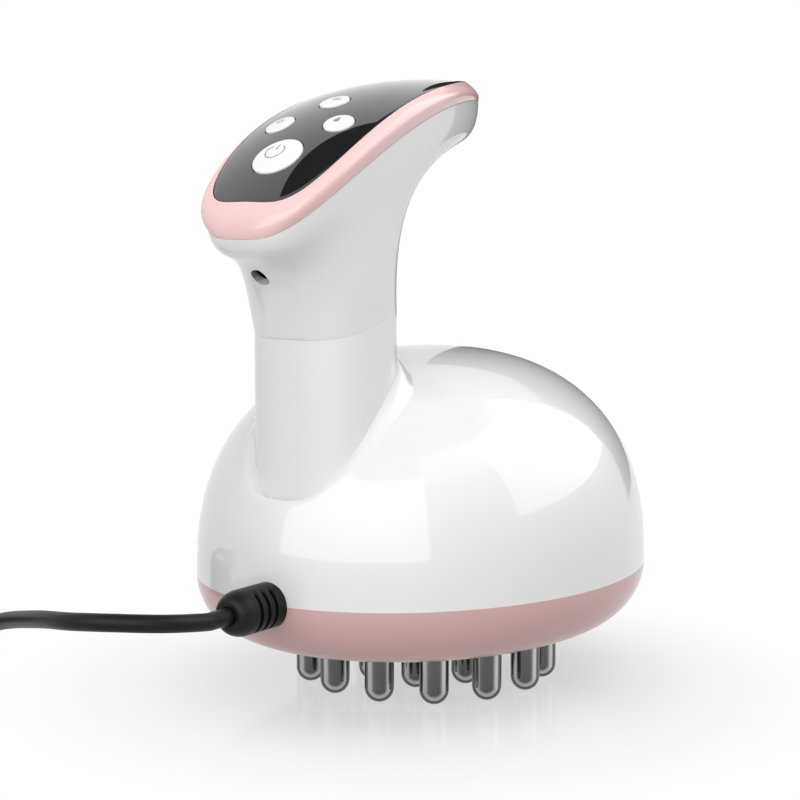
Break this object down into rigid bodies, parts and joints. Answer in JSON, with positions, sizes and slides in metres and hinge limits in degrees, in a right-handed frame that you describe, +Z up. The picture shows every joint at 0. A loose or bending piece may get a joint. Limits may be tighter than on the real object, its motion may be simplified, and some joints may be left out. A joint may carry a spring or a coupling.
{
  "type": "electric massage brush",
  "caption": "Hand-held electric massage brush: domed body on metal massage pins, upright stem, overhanging head with a sloping button panel, mains lead with strain relief and plug.",
  "frame": {"origin": "floor under the massage pins, midway between the strain relief's end and the front of the body", "axes": "+Z up; -X towards the mains lead and the wide end of the head; Y across, mirror plane y = 0"},
  "size_m": [0.1949, 0.2302, 0.1568],
  "materials": {
    "shell_white": "glossy injection moulded",
    "band_pink": "glossy pale pink",
    "base_pink": "glossy dusty pink",
    "panel_black": "high gloss black",
    "button_white": "glossy white",
    "pin_chrome": "dark polished chrome",
    "relief_rubber": "satin black",
    "cord_black": "satin black",
    "tie_black": "matte black",
    "plug_black": "satin black",
    "pin_nickel": "bright nickel",
    "circuit_board": "solder mask green",
    "switch_black": "matte black",
    "steel": "zinc plated",
    "aluminium": "bare sheet",
    "heater_film": "amber film",
    "inner_plastic": "matte moulded",
    "wire_grey": "satin grey",
    "weight_iron": "sintered metal",
    "capacitor_blue": "glossy sleeve",
    "terminal_green": "matte",
    "core_brown": "satin brown"
  },
  "bodies": {
    "case": {"base_cover": "base_pink", "body_shell": "shell_white", "neck_shell": "shell_white", "neck_sleeve": "inner_plastic", "head_band": "band_pink", "control_panel": "panel_black", "button_board": "circuit_board", "tact_switches": "switch_black", "button_board_screws": "steel", "wire_harness": "wire_grey", "outer_pins": "pin_chrome", "inner_pins": "pin_chrome", "pin_nuts": "steel", "heat_plate": "aluminium", "heater_ring": "heater_film", "thermostat": "switch_black", "chassis_plate": "inner_plastic", "case_screws": "steel", "motor_can": "steel", "motor_cradle": "inner_plastic", "motor_strap": "steel", "strap_screws": "steel", "main_board": "circuit_board", "main_board_screws": "steel", "power_module": "switch_black", "capacitors": "capacitor_blue", "terminal_block": "terminal_green", "inner_lead": "core_brown", "strain_relief": "relief_rubber", "power_cord": "cord_black", "cord_coil": "cord_black", "cord_tail": "cord_black", "cord_tie": "tie_black", "plug_body": "plug_black", "plug_pins": "pin_nickel"},
    "power_key": {"power_button": "button_white"},
    "heat_key": {"heat_button": "button_white"},
    "strength_key": {"strength_button": "button_white"},
    "mode_key": {"mode_button": "button_white"},
    "rotor": {"motor_shaft": "steel", "eccentric_weight": "weight_iron"}
  },
  "joints": [
    {"name": "power_press", "type": "slide", "parent": "case", "child": "power_key", "axis": [0.6237, 0, -0.7817], "range_m": [0, 0.0006], "stiffness_N_per_m": 900, "springref_m": -0.0006},
    {"name": "heat_press", "type": "slide", "parent": "case", "child": "heat_key", "axis": [0.4973, -0.115, -0.8599], "range_m": [0, 0.0006], "stiffness_N_per_m": 900, "springref_m": -0.0006},
    {"name": "strength_press", "type": "slide", "parent": "case", "child": "strength_key", "axis": [0.4973, 0.115, -0.8599], "range_m": [0, 0.0006], "stiffness_N_per_m": 900, "springref_m": -0.0006},
    {"name": "mode_press", "type": "slide", "parent": "case", "child": "mode_key", "axis": [0.3861, 0, -0.9224], "range_m": [0, 0.0006], "stiffness_N_per_m": 900, "springref_m": -0.0006},
    {"name": "motor_spin", "type": "hinge", "parent": "case", "child": "rotor", "pos_m": [0.0203, 0, 0.051], "axis": [1, 0, 0], "continuous": true}
  ]
}
